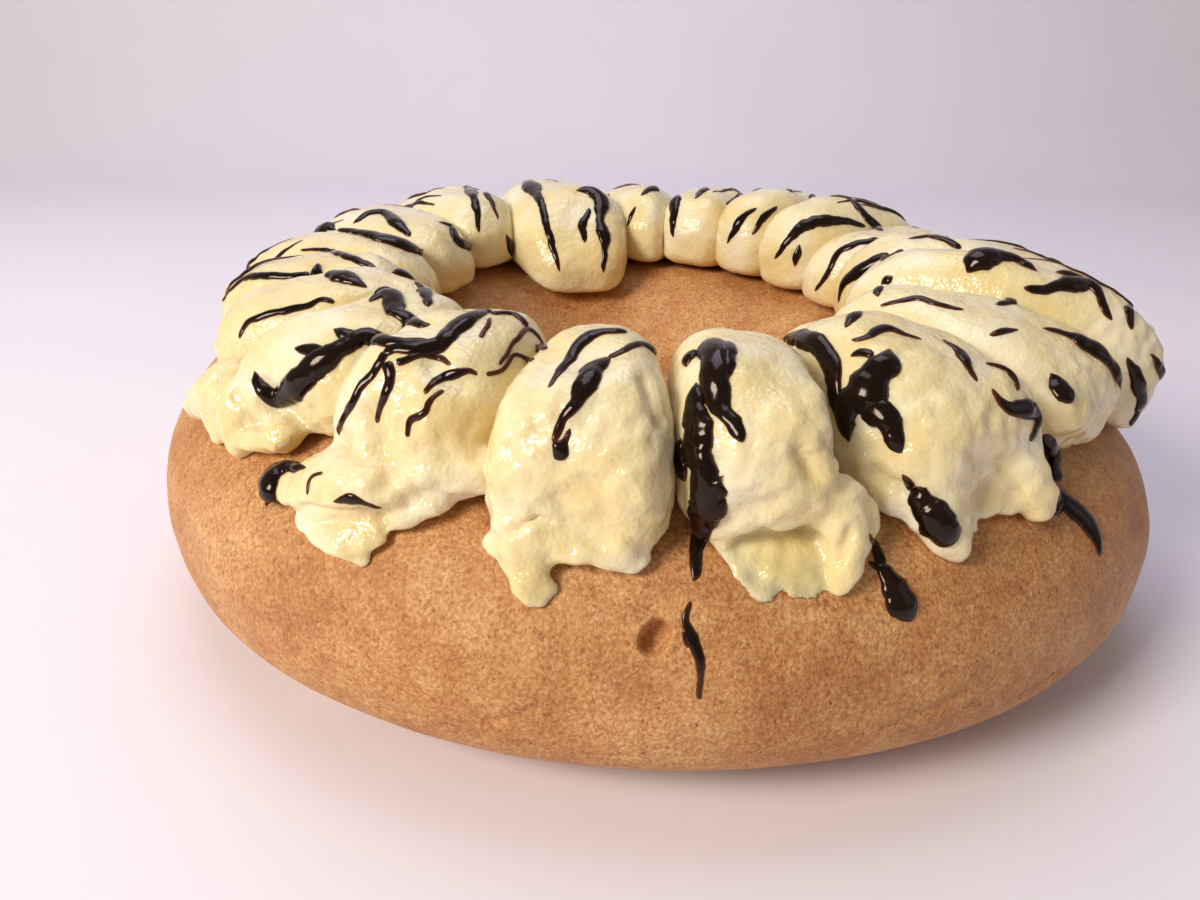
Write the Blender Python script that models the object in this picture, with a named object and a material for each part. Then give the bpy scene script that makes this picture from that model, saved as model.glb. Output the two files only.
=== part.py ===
"""Easter ring bread: a fat, smooth ring loaf, crowned with piped dollops of pastry cream
that lie side by side across its top, under a thick dark chocolate drizzle.

Metres, +Z up. The loaf stands on the floor at z = 0, and the origin is the middle of its base.
"""

import math

import bmesh
import bpy
from mathutils import Vector, noise

# The loaf
BREAD_RADIUS = 0.105  # mean radius of the loaf, out to its widest point
RING_CENTRE = Vector((-0.0027, -0.0013, 0.0))  # keeps the uneven ring's box centred on the origin
CREST = 0.5612  # the section's sizes are shares of BREAD_RADIUS
WIDEST_HEIGHT = 0.2019
SHOULDER_HEIGHT = 0.2854
SHOULDER_POWER = 0.838
FOOT_RADIUS = 0.62
HOLE_RADIUS = 0.125
HOLE_LIP_HEIGHT = 0.08
HOLE_FOOT_WIDTH = 0.05
SLOPE_POWER = 1.25
SECTION_STEPS = 20
RING_STEPS = 56
DENT_DEPTH = 0.0008  # the crust's low, uneven swells
DENT_SIZE = 0.035
DENT_FADE = 0.020  # height over which they grow, so that the base stays flat

# The cream
CREAM_GAP = 0.0006  # between the crust and the cream's underside
SIDE_GAP = 0.00018  # from each dollop's side to the plane it shares with its neighbour
LEAN_FROM = 75.0  # section angle at which each dollop's first side stands at its stated place
LEAN_OVER = 60.0  # section angle over which it drifts by its stated lean
SPHERE_SEGMENTS = 18
SPHERE_RINGS = 12
UPRIGHT = 0.62  # how far the cream stands straight up, rather than square to the crust
WIDEST_SHARE = 0.40  # a dollop's widest level, as a share of its height
WIDEST_DROP = 0.16  # how far that level sinks towards the torn end
END_BLUNTNESS = 0.80  # the powers below 1 make a form boxier than a ball
SIDE_BLUNTNESS = 0.60
TOP_BLUNTNESS = 0.84
FOOT_BLUNTNESS = 0.45
END_WIDTH_POWER = 0.42
END_HEIGHT_POWER = 0.62
INNER_WIDTH_POWER = 0.55  # the inner end is rounder than the torn one
INNER_HEIGHT_POWER = 0.75
TEAR_START = 0.55  # share of the length after which the torn tips reach out
DOLLOP_LENGTH = 0.063
DOLLOP_HALF_WIDTH = 0.012
LUMP_SIZE = 0.012
LUMP_DEPTH = 0.07
LUMP_SEED = 7.3  # keeps one dollop's lumps unlike the next one's

# The chocolate
DRIZZLE_SINK = 0.40  # share of a streak's half-width that lies below the surface it runs over
STREAK_POINTS = 8
STREAK_TIP = 0.45  # its half-width at an end, as a share
CORE_DEPTH = 0.012  # from a dollop's top down to the point that its streaks sink towards
CREASE = 35.0  # degrees between faces, past which an edge is drawn sharp

BAKED_CRUST = (0.434, 0.223, 0.099)
PASTRY_CREAM = (0.855, 0.680, 0.402)
DARK_CHOCOLATE = (0.018, 0.008, 0.005)

# One row for each dollop, anticlockwise: its first side in degrees round from +X and how far that
# side leans towards the middle, section angles of the inner and the outer end, height in
# millimetres, torn tips (place across, degrees further, width)
DOLLOPS = [
    (240.0, 6, 93, 47, 19.5, [(-0.60, 14, 0.40), (0.4, 2, 0.40)]),
    (259.0, 5, 89, 41, 20.0, [(-0.22, 15, 0.24), (0.65, 4, 0.28)]),
    (275.5, 0, 88, 38, 20.0, [(-0.1, 3, 0.50), (0.65, 9, 0.26)]),
    (292.6, 0, 91, 42, 20.0, [(-0.45, 10, 0.32), (0.7, 8, 0.28)]),
    (311.8, -4, 103, 50, 18.5, [(0.5, 4, 0.50)]),
    (331.0, -4, 108, 38, 22.0, [(-0.2, 4, 0.40)]),
    (347.0, 0, 109, 40, 21.0, [(0.4, 4, 0.40)]),
    (364.0, 0, 108, 42, 18.5, [(-0.3, 5, 0.40)]),
    (382.5, 0, 107, 42, 22.5, [(0.2, 5, 0.40)]),
    (401.0, 0, 103, 42, 23.0, [(-0.4, 6, 0.30)]),
    (419.0, 0, 102, 42, 22.0, [(0.4, 5, 0.30)]),
    (437.5, 0, 104, 42, 20.5, [(0.0, 6, 0.40)]),
    (454.0, -9, 124, 43, 21.5, [(-0.5, 6, 0.30), (0.5, 5, 0.30)]),
    (477.5, 9, 106, 44, 20.5, [(0.3, 5, 0.40)]),
    (498.0, 2, 112, 46, 18.0, [(-0.3, 5, 0.40)]),
    (520.0, 5, 113, 50, 16.5, [(0.4, 4, 0.30)]),
    (541.0, 9, 112, 53, 16.5, [(-0.2, 3, 0.40)]),
    (561.0, 13, 109, 56, 17.5, [(0.3, 3, 0.40)]),
    (582.0, 18, 100, 57, 17.5, [(-0.5, 9, 0.50)]),
]

# Thick streaks by dollop number: half-width in millimetres, then stations on the dollop's skin.
# A station is its way along from the inner end, 0 to 180, and its way up from the right, 0 to 180
STREAKS = {
    1: [(2.0, [(40, 60), (65, 72), (90, 92), (112, 116)]), (1.5, [(62, 116), (85, 130), (105, 122)])],
    2: [(2.0, [(48, 95), (72, 100), (95, 112), (120, 118)])],
    3: [(3.2, [(62, 126), (85, 124), (108, 129), (128, 130)]), (2.2, [(50, 100), (76, 102), (100, 92)])],
    4: [(3.4, [(45, 116), (66, 112), (88, 112), (106, 118)]), (2.4, [(118, 96), (134, 90), (148, 88)])],
    5: [(1.8, [(40, 100), (62, 96), (86, 84), (112, 80)])],
    6: [(2.0, [(45, 84), (70, 92), (96, 100), (120, 92)])],
    7: [(2.8, [(60, 92), (84, 98), (108, 88)])],
    8: [(1.8, [(45, 100), (72, 92), (98, 98), (124, 90)])],
    9: [(2.3, [(38, 96), (62, 88), (90, 84), (118, 92)])],
    10: [(1.7, [(45, 84), (72, 92), (98, 88), (124, 98)])],
    11: [(1.8, [(48, 100), (74, 92), (100, 96), (122, 88)])],
    12: [(2.0, [(50, 76), (74, 84), (98, 80), (120, 90)])],
    13: [(2.2, [(52, 66), (76, 74), (100, 84), (122, 92)]), (1.5, [(80, 114), (102, 108), (124, 112)])],
    14: [(1.8, [(52, 104), (76, 96), (100, 100), (122, 92)])],
    15: [(2.6, [(45, 84), (70, 92), (94, 96), (118, 90)])],
    16: [(2.3, [(45, 96), (70, 88), (94, 92), (118, 84)])],
    17: [(2.3, [(48, 84), (72, 90), (98, 84), (122, 90)])],
    18: [(1.9, [(48, 104), (74, 98), (100, 92), (126, 88)])],
    19: [(2.3, [(45, 84), (68, 92), (92, 104), (114, 98)]), (1.7, [(100, 72), (118, 82), (134, 92)])],
}

# Drips that ran down onto the crust: half-width in millimetres, then stations of degrees round
# the ring and section angle
DRIPS = [
    (1.9, [(277.0, 28), (276.4, 17), (277.0, 6)]),
    (2.8, [(293.6, 27), (294.8, 19), (296.0, 11)]),
    (1.8, [(316.0, 33), (317.0, 22), (318.0, 10)]),
    (1.7, [(229.6, 34), (229.0, 30), (230.0, 25)]),
]


def principled(name, colour, roughness):
    """A material of one linear colour."""
    material = bpy.data.materials.new(name)
    material.use_nodes = True
    shader = material.node_tree.nodes["Principled BSDF"]
    shader.inputs["Base Color"].default_value = (*colour, 1.0)
    shader.inputs["Roughness"].default_value = roughness
    shader.inputs["Metallic"].default_value = 0.0
    return material


def quarter(corner, width, height, power, turned):
    """A point on a quarter of a superellipse about corner; turned is measured from its side."""
    across = abs(math.cos(turned)) ** power
    up = abs(math.sin(turned)) ** power
    return corner[0] + width * across, corner[1] + height * up


def section(angle):
    """The loaf's section at an angle in degrees: 0 outside, 90 at the crest, 180 in the hole."""
    turned = math.radians(angle)
    if angle < 0:
        corner = (FOOT_RADIUS, WIDEST_HEIGHT)
        point = quarter(corner, 1 - FOOT_RADIUS, -WIDEST_HEIGHT, SHOULDER_POWER, turned)
    elif angle <= 90:
        point = quarter((CREST, WIDEST_HEIGHT), 1 - CREST, SHOULDER_HEIGHT, SHOULDER_POWER, turned)
    elif angle <= 180:
        rise = WIDEST_HEIGHT + SHOULDER_HEIGHT - HOLE_LIP_HEIGHT
        point = quarter((CREST, HOLE_LIP_HEIGHT), HOLE_RADIUS - CREST, rise, SLOPE_POWER, turned)
    else:
        corner = (HOLE_RADIUS + HOLE_FOOT_WIDTH, HOLE_LIP_HEIGHT)
        point = quarter(corner, -HOLE_FOOT_WIDTH, -HOLE_LIP_HEIGHT, 1.0, turned)
    return Vector((point[0], 0.0, point[1])) * BREAD_RADIUS


def outline(around):
    """How far the uneven ring's outline stands from a true circle, as a factor."""
    return (
        1
        + 0.0146 * math.cos(2 * around)
        - 0.0680 * math.sin(2 * around)
        + 0.0253 * math.cos(3 * around)
        - 0.0126 * math.sin(3 * around)
    )


def swollen(point):
    """A point of the ring, pushed out or in by the crust's low swells."""
    outward = Vector((point.x, point.y, 0.0)).normalized()
    depth = DENT_DEPTH * min(1.0, max(0.0, point.z) / DENT_FADE)
    return point + outward * noise.noise(point / DENT_SIZE) * depth + RING_CENTRE


def on_ring(degrees, angle, height, upright=0.0):
    """The point at a height over the crust, at degrees round the ring and a section angle.
    The height is square to the crust, or leans towards straight up by the share upright."""
    step = 0.5
    tangent = section(angle + step) - section(angle - step)
    outward = Vector((tangent.z, 0.0, -tangent.x)).normalized()
    outward = (outward * (1 - upright) + Vector((0.0, 0.0, upright))).normalized()
    flat = section(angle) + outward * height
    around = math.radians(degrees)
    radius = flat.x * outline(around)
    return swollen(Vector((radius * math.cos(around), radius * math.sin(around), flat.z)))


def smooth_step(low, high, value):
    """0 below low, 1 above high, and an even ease between them."""
    share = min(1.0, max(0.0, (value - low) / (high - low)))
    return share * share * (3 - 2 * share)


def signed_power(value, power):
    """A power that keeps the sign."""
    return math.copysign(abs(value) ** power, value)


def side(number, angle):
    """Where a dollop's first side stands, in degrees round the ring, at a section angle."""
    turns, row = divmod(number - 1, len(DOLLOPS))
    place, lean = DOLLOPS[row][:2]
    return place + 360 * turns + lean * (angle - LEAN_FROM) / LEAN_OVER


def dollop_point(number, along, up):
    """A point on a dollop's skin, from two angles in degrees: along, 0 at the inner end to 180
    at the torn one, and up, 0 at its right side, 90 on top, 180 at its left."""
    inner, outer, height, tips = DOLLOPS[number - 1][2:]
    share = (1 - signed_power(math.cos(math.radians(along)), END_BLUNTNESS)) / 2
    girth = max(0.0, math.sin(math.radians(along)))
    width_share = girth ** (INNER_WIDTH_POWER if share < 0.5 else END_WIDTH_POWER)
    height_share = girth ** (INNER_HEIGHT_POWER if share < 0.5 else END_HEIGHT_POWER)
    rise = math.sin(math.radians(up))
    across = signed_power(math.cos(math.radians(up)), SIDE_BLUNTNESS) * width_share
    body = height / 1000
    middle = body * (WIDEST_SHARE - WIDEST_DROP * smooth_step(0.5, 1.0, share))
    if rise > 0:
        along_skin = Vector((0.0, share * DOLLOP_LENGTH, -across * DOLLOP_HALF_WIDTH)) / LUMP_SIZE
        along_skin.x = number * LUMP_SEED
        lump = 1 + LUMP_DEPTH * noise.noise(along_skin)
        over = middle + (body * lump - middle) * rise**TOP_BLUNTNESS * height_share
    else:
        over = middle - middle * abs(rise) ** FOOT_BLUNTNESS * width_share
    torn = sum(reach * math.exp(-(((across - place) / spread) ** 2)) for place, reach, spread in tips)
    angle = inner + (outer - inner) * share - torn * smooth_step(TEAR_START, 1.0, share)
    first, last = side(number, angle), side(number + 1, angle)
    keep_clear = math.degrees(SIDE_GAP / section(angle).x)
    half = (last - first) / 2 - keep_clear
    return on_ring((first + last) / 2 + across * half, angle, CREAM_GAP + over, UPRIGHT)


def new_object(name, shape, collection, materials, slot=0):
    """An object made of a bmesh, smooth all over, with its faces pointing out and in one slot."""
    bmesh.ops.recalc_face_normals(shape, faces=shape.faces)
    if shape.calc_volume(signed=True) < 0:
        bmesh.ops.reverse_faces(shape, faces=shape.faces)
    for face in shape.faces:
        face.material_index = slot
    mesh = bpy.data.meshes.new(name)
    shape.to_mesh(mesh)
    shape.free()
    mesh.shade_smooth()
    made = bpy.data.objects.new(name, mesh)
    collection.objects.link(made)
    for material in materials:
        mesh.materials.append(material)
    return made


def ring_loaf(collection, materials):
    """The loaf: its section spun round, then pushed out to the uneven outline."""
    shape = bmesh.new()
    count = SECTION_STEPS
    angles = [-90 + 360 * step / count for step in range(count + 1)]
    points = [section(angle) for angle in angles]
    rim = [shape.verts.new(point) for point in points]
    edges = [shape.edges.new((rim[step], rim[step - 1])) for step in range(len(rim))]
    bmesh.ops.spin(
        shape,
        geom=rim + edges,
        cent=(0, 0, 0),
        axis=(0, 0, 1),
        angle=2 * math.pi,
        steps=RING_STEPS,
        use_merge=True,
    )
    bmesh.ops.remove_doubles(shape, verts=shape.verts, dist=1e-6)
    for vertex in shape.verts:
        around = math.atan2(vertex.co.y, vertex.co.x)
        place = vertex.co * outline(around)
        place.z = vertex.co.z
        vertex.co = swollen(place)
    return new_object("bread", shape, collection, materials)


def dollop(number, collection, materials):
    """One piped dollop: a sphere with its poles at the two ends, drawn out over the loaf."""
    shape = bmesh.new()
    bmesh.ops.create_uvsphere(shape, u_segments=SPHERE_SEGMENTS, v_segments=SPHERE_RINGS, radius=1.0)
    for vertex in shape.verts:
        along = math.degrees(math.acos(max(-1.0, min(1.0, vertex.co.z))))
        up = math.degrees(math.atan2(vertex.co.y, vertex.co.x))
        vertex.co = dollop_point(number, along, up)
    return new_object(f"cream_dollop_{number:02d}", shape, collection, materials)


def streak(name, points, half_width, collection, materials):
    """A rounded streak of chocolate along some points, thinner at its ends, as a closed mesh."""
    curve = bpy.data.curves.new(name, "CURVE")
    curve.dimensions = "3D"
    curve.bevel_depth = half_width
    curve.bevel_resolution = 1
    curve.use_fill_caps = True
    line = curve.splines.new("POLY")
    line.points.add(len(points) - 1)
    for step, point in enumerate(points):
        line.points[step].co = (*point, 1.0)
        line.points[step].radius = STREAK_TIP if step in (0, len(points) - 1) else 1.0
    guide = bpy.data.objects.new(name + "_line", curve)
    collection.objects.link(guide)
    bpy.context.view_layer.update()
    mesh = bpy.data.meshes.new_from_object(guide.evaluated_get(bpy.context.evaluated_depsgraph_get()))
    bpy.data.objects.remove(guide)
    shape = bmesh.new()
    shape.from_mesh(mesh)
    bpy.data.meshes.remove(mesh)
    bmesh.ops.remove_doubles(shape, verts=shape.verts, dist=1e-5)
    return new_object(name, shape, collection, materials, slot=1)


def fuse(body, pieces):
    """Joins the pieces of a collection to a body by one Boolean union, and removes them."""
    union = body.modifiers.new("drizzle", "BOOLEAN")
    union.operation = "UNION"
    union.operand_type = "COLLECTION"
    union.collection = pieces
    bpy.context.view_layer.update()
    joined = bpy.data.meshes.new_from_object(body.evaluated_get(bpy.context.evaluated_depsgraph_get()))
    joined.set_sharp_from_angle(angle=math.radians(CREASE))
    body.modifiers.remove(union)
    body.data = joined
    for piece in list(pieces.objects):
        bpy.data.objects.remove(piece)
    bpy.data.collections.remove(pieces)


def flowing(stations):
    """Stations spread evenly along a smooth line through a few of them."""
    spread = []
    last = len(stations) - 1
    for step in range(STREAK_POINTS):
        place = last * step / (STREAK_POINTS - 1)
        first = min(last - 1, int(place))
        share = place - first
        before = stations[max(0, first - 1)]
        after = stations[min(last, first + 2)]
        blend = []
        for axis in (0, 1):
            a, b, c, d = (one[axis] for one in (before, stations[first], stations[first + 1], after))
            bend = 2 * b + (c - a) * share + (2 * a - 5 * b + 4 * c - d) * share**2
            blend.append((bend + (3 * b - a - 3 * c + d) * share**3) / 2)
        spread.append(tuple(blend))
    return spread


def drizzled(body, name, routes):
    """Fuses streaks to a body. A route is its half-width and the points along its middle."""
    pieces = bpy.data.collections.new(name)
    bpy.context.scene.collection.children.link(pieces)
    for step, (half_width, points) in enumerate(routes):
        streak(f"{name}_{step}", points, half_width, pieces, body.data.materials)
    fuse(body, pieces)


def build():
    """The loaf, its cream and its chocolate."""
    for item in list(bpy.data.objects):
        bpy.data.objects.remove(item)
    parts = bpy.data.collections.new("easter_ring_bread")
    bpy.context.scene.collection.children.link(parts)
    crust = principled("baked_crust", BAKED_CRUST, 0.55)
    cream = principled("pastry_cream", PASTRY_CREAM, 0.32)
    chocolate = principled("dark_chocolate", DARK_CHOCOLATE, 0.15)

    loaf = ring_loaf(parts, (crust, chocolate))
    drips = []
    for width, stations in DRIPS:
        half = width / 1000
        drips.append((half, [on_ring(*place, -DRIZZLE_SINK * half) for place in flowing(stations)]))
    drizzled(loaf, "bread_drips", drips)

    for number in range(1, len(DOLLOPS) + 1):
        body = dollop(number, parts, (cream, chocolate))
        core = dollop_point(number, 90, 90) - Vector((0.0, 0.0, CORE_DEPTH))
        routes = []
        for width, stations in STREAKS[number]:
            half = width / 1000
            points = []
            for along, up in flowing(stations):
                skin = dollop_point(number, along, up)
                points.append(skin + (core - skin).normalized() * DRIZZLE_SINK * half)
            routes.append((half, points))
        drizzled(body, f"dollop_{number:02d}_drizzle", routes)


build()
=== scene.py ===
import math

import bmesh
import bpy
import numpy as np
from mathutils import Matrix, Vector, noise
from mathutils.bvhtree import BVHTree


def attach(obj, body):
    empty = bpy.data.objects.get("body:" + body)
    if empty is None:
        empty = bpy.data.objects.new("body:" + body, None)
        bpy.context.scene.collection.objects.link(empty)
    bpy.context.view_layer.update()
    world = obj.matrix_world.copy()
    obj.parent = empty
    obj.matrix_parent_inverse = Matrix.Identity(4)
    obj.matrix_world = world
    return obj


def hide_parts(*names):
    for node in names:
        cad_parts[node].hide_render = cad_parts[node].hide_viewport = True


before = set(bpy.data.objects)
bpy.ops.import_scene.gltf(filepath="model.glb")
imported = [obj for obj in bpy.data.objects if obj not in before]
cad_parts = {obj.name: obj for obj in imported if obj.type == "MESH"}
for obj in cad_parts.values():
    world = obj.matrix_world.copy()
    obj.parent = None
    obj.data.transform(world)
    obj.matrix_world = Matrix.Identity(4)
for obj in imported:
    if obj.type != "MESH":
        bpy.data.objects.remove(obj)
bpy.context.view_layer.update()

# ---------------------------------------------------------------------------------------------
# The loaf
# A fat wholemeal dough ring, proved until its skin was smooth and baked on a flat tray.
# Its section is carried once round the hole, and out to the uneven outline it rose to.

LOAF_RADIUS = 0.105
RING_CENTRE = Vector((-0.0027, -0.0013, 0.0))
CREST = 0.5612  # the section's sizes are shares of LOAF_RADIUS
WIDEST_HEIGHT = 0.2019
SHOULDER_HEIGHT = 0.2854
SHOULDER_POWER = 0.838
FOOT_RADIUS = 0.62
HOLE_RADIUS = 0.125
HOLE_LIP_HEIGHT = 0.08
HOLE_FOOT_WIDTH = 0.05
SLOPE_POWER = 1.25
OUTLINE_WAVES = [(2, 0.0146, -0.0680), (3, 0.0253, -0.0126)]  # waves round, cosine and sine shares
LOAF_SECTION_STEPS = 176
LOAF_RING_STEPS = 400
SWELLS = [(0.035, 0.0008), (0.011, 0.00022), (0.004, 0.00009)]  # size and depth of the skin's swells
SWELL_FADE = 0.020  # height over which they grow, so that the base stays flat
BESIDE = 0.5  # degrees either side of a section angle, to find which way the crust faces there
PIT = ((273.0, 21.8), (273.5, 24.4))  # a burst bubble's ends: degrees round and section angle
PIT_RADIUS = 0.0018
PIT_DEPTH = 0.0030
PIT_REACH = 0.0050  # how far out the mesh is made finer for it
WRINKLE_REACH = 0.0035
FAINTEST = 0.01  # the share of a push below which it is left out
WRINKLES = [  # degrees round and section angle at each end, then half-width and depth
    (259.5, -3.0, 264.0, 2.0, 0.0006, 0.0005),
    (249.0, -12.0, 253.0, -9.0, 0.0006, 0.0004),
    (292.0, -4.0, 299.0, 1.5, 0.0009, 0.0005),
    (268.0, -14.0, 272.0, -13.0, 0.0005, 0.0004),
    (305.0, -8.0, 311.0, -5.0, 0.0008, 0.0004),
    (236.0, 2.0, 240.0, 5.0, 0.0006, 0.0004),
    (100.0, 10.0, 108.0, 6.0, 0.0008, 0.0005),
    (30.0, -6.0, 37.0, -9.0, 0.0008, 0.0005),
    (165.0, 4.0, 171.0, 8.0, 0.0008, 0.0005),
]


def quarter(corner, width, height, power, turned):
    """A point on a quarter of a superellipse about a corner."""
    across = abs(math.cos(turned)) ** power
    up = abs(math.sin(turned)) ** power
    return corner[0] + width * across, corner[1] + height * up


def section(angle):
    """The loaf's section at an angle in degrees: 0 outside, 90 at the crest, 180 in the hole."""
    turned = math.radians(angle)
    if angle < 0:
        corner = (FOOT_RADIUS, WIDEST_HEIGHT)
        point = quarter(corner, 1 - FOOT_RADIUS, -WIDEST_HEIGHT, SHOULDER_POWER, turned)
    elif angle <= 90:
        point = quarter((CREST, WIDEST_HEIGHT), 1 - CREST, SHOULDER_HEIGHT, SHOULDER_POWER, turned)
    elif angle <= 180:
        rise = WIDEST_HEIGHT + SHOULDER_HEIGHT - HOLE_LIP_HEIGHT
        point = quarter((CREST, HOLE_LIP_HEIGHT), HOLE_RADIUS - CREST, rise, SLOPE_POWER, turned)
    else:
        corner = (HOLE_RADIUS + HOLE_FOOT_WIDTH, HOLE_LIP_HEIGHT)
        point = quarter(corner, -HOLE_FOOT_WIDTH, -HOLE_LIP_HEIGHT, 1.0, turned)
    return Vector((point[0], 0.0, point[1])) * LOAF_RADIUS


def outline(around):
    """How far the uneven ring's outline stands from a true circle, as a factor."""
    factor = 1
    for waves, cosine, sine in OUTLINE_WAVES:
        factor += cosine * math.cos(waves * around)
        factor += sine * math.sin(waves * around)
    return factor


def swollen(point, swells):
    """A point of the ring, pushed out or in by the skin's swells."""
    outward = Vector((point.x, point.y, 0.0)).normalized()
    fade = min(1.0, max(0.0, point.z) / SWELL_FADE)
    depth = sum(noise.noise(point / size) * most for size, most in swells)
    return point + outward * depth * fade + RING_CENTRE


def on_ring(degrees, angle, height, upright=0.0):
    """The point at a height over the crust, at degrees round the ring and a section angle.
    The height is square to the crust, or leans towards straight up by the share upright."""
    tangent = section(angle + BESIDE) - section(angle - BESIDE)
    outward = Vector((tangent.z, 0.0, -tangent.x)).normalized()
    outward = (outward * (1 - upright) + Vector((0.0, 0.0, upright))).normalized()
    flat = section(angle) + outward * height
    around = math.radians(degrees)
    radius = flat.x * outline(around)
    return swollen(Vector((radius * math.cos(around), radius * math.sin(around), flat.z)), SWELLS[:1])


def linear(hex_colour):
    """An sRGB hex colour as linear red, green, blue and alpha."""
    values = [int(hex_colour[start : start + 2], 16) / 255 for start in (1, 3, 5)]
    return (*((v / 12.92 if v <= 0.04045 else ((v + 0.055) / 1.055) ** 2.4) for v in values), 1.0)


def plug(tree, node, **inputs):
    """Sets a node's inputs, each by its name or, after an underscore, its number, to a value or
    to another node's output."""
    for name, value in inputs.items():
        socket = node.inputs[int(name[1:])] if name[1:].isdigit() else node.inputs[name.replace("_", " ")]
        if isinstance(value, bpy.types.NodeSocket):
            tree.links.new(value, socket)
        else:
            socket.default_value = value


def add(tree, kind, settings=None, **inputs):
    """Adds a node with its settings, its colour stops if any, and its inputs."""
    made = tree.nodes.new(kind)
    for name, value in (settings or {}).items():
        if name != "stops":
            setattr(made, name, value)
            continue
        for step, (position, colour) in enumerate(value):
            stops = made.color_ramp.elements
            stop = stops[step] if step < 2 else stops.new(position)
            stop.position = position
            stop.color = linear(colour)
    plug(tree, made, **inputs)
    return made


def new_material(name):
    """Starts a material: itself, its nodes, its shader, and each point's place on the piece."""
    material = bpy.data.materials.new(name)
    material.use_nodes = True
    tree = material.node_tree
    return material, tree, tree.nodes["Principled BSDF"], add(tree, "ShaderNodeTexCoord").outputs["Object"]


def in_scene(name, data):
    """Puts a mesh, a lamp or a camera in the scene."""
    made = bpy.data.objects.new(name, data)
    bpy.context.scene.collection.objects.link(made)
    return made


def settled(name, shape):
    """Turns a bmesh into a mesh, and lets the bmesh go."""
    mesh = bpy.data.meshes.new(name)
    shape.to_mesh(mesh)
    shape.free()
    return mesh


def finish_mesh(name, shape, replaced, material):
    """Makes a bmesh a smooth piece that rides on the part and stands for its CAD nodes."""
    bmesh.ops.recalc_face_normals(shape, faces=shape.faces)
    if shape.calc_volume(signed=True) < 0:
        bmesh.ops.reverse_faces(shape, faces=shape.faces)
    mesh = settled(name, shape)
    mesh.shade_smooth()
    mesh.materials.append(material)
    piece = in_scene(name, mesh)
    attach(piece, "root")
    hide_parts(*replaced)
    return piece


# Wholemeal crust, baked soft: matte and tan, densely speckled where red-brown bran and pale
# grit show through, mottled where it browned, and a faint sheen where the light grazes it.
CRUST_SPECK = 1.2e-3
CRUST_FLAKE = 2.2e-3
CRUST_CRUMB = 0.62e-3
CRUST_BRAN = 1.5e-3
CRUST_MOTTLE = 5.0e-3
CRUST_PATCH = 22.0e-3
CRUST_GRAIN = 0.5e-3
CRUST_WARP = 1.6e-3  # how far the grit drags a speck's edge about
BUMP = "ShaderNodeBump"
RANGE = "ShaderNodeMapRange"
VECTORS = "ShaderNodeVectorMath"
RAMP = "ShaderNodeValToRGB"
MIX = "ShaderNodeMix"
MATH = "ShaderNodeMath"
NOISE = "ShaderNodeTexNoise"
CELLS = "ShaderNodeTexVoronoi"
TAN = [(0.30, "#C8915A"), (0.50, "#D9A66C"), (0.70, "#E7BA83")]
WARMTH = [(0.34, "#E6D0BC"), (0.62, "#FFFFFF")]
GRIT = [(0.32, "#C8A88A"), (0.48, "#E5D5C4"), (0.62, "#FFFFFF")]
BROWNED = [(0.30, "#C49A7C"), (0.38, "#E9D8CA"), (0.47, "#FFFFFF")]
BRAN = "#94502C"
FLAKE = "#5F341C"
FLOUR = "#F2D3A4"
WARMTH_SHARE = 0.7
BROWNED_SHARE = 0.7
GRIT_SHARE = 0.9
# Each kind of speck: the size of the cells that may hold one, which of a cell's random values
# picks it and from where up, how far it reaches in its cell, its strength and its colour
SPECKS = [
    (CRUST_SPECK, "Red", 0.84, 0.44, 0.60, BRAN),
    (CRUST_SPECK, "Green", 0.74, 0.34, 0.28, FLOUR),
    (CRUST_FLAKE, "Blue", 0.66, 0.15, 0.80, FLAKE),
]
SPECK_HEART = 0.55  # the share of its reach within which a speck is at full strength

crust, nodes, shader, place = new_material("baked wholemeal crust")
patch = add(nodes, NOISE, Vector=place, Scale=1 / CRUST_PATCH, Detail=3.0, Roughness=0.55)
mottle = add(nodes, NOISE, Vector=place, Scale=1 / CRUST_MOTTLE, Detail=4.0, Roughness=0.6)
crumb = add(nodes, NOISE, Vector=place, Scale=1 / CRUST_CRUMB, Detail=3.0, Roughness=0.65)
ragged = add(nodes, VECTORS, {"operation": "SCALE"}, _0=crumb.outputs["Color"], Scale=CRUST_WARP)
frayed = add(nodes, VECTORS, _0=place, _1=ragged.outputs[0])
multiply = {"data_type": "RGBA", "blend_type": "MULTIPLY"}
lay_over = {"data_type": "RGBA"}
product = {"operation": "MULTIPLY", "use_clamp": True}
tan = add(nodes, RAMP, {"stops": TAN}, Fac=patch.outputs["Fac"])
warm = add(nodes, RAMP, {"stops": WARMTH}, Fac=mottle.outputs["Fac"])
grit = add(nodes, RAMP, {"stops": GRIT}, Fac=crumb.outputs["Fac"])
warmed = add(nodes, MIX, multiply, _0=WARMTH_SHARE, _6=tan.outputs["Color"], _7=warm.outputs["Color"])
bran = add(nodes, NOISE, Vector=frayed.outputs[0], Scale=1 / CRUST_BRAN, Detail=4.0, Roughness=0.7)
browned = add(nodes, RAMP, {"stops": BROWNED}, Fac=bran.outputs["Fac"])
freckled = add(nodes, MIX, multiply, _0=BROWNED_SHARE, _6=warmed.outputs[2], _7=browned.outputs["Color"])
skin = add(nodes, MIX, multiply, _0=GRIT_SHARE, _6=freckled.outputs[2], _7=grit.outputs["Color"])
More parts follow.
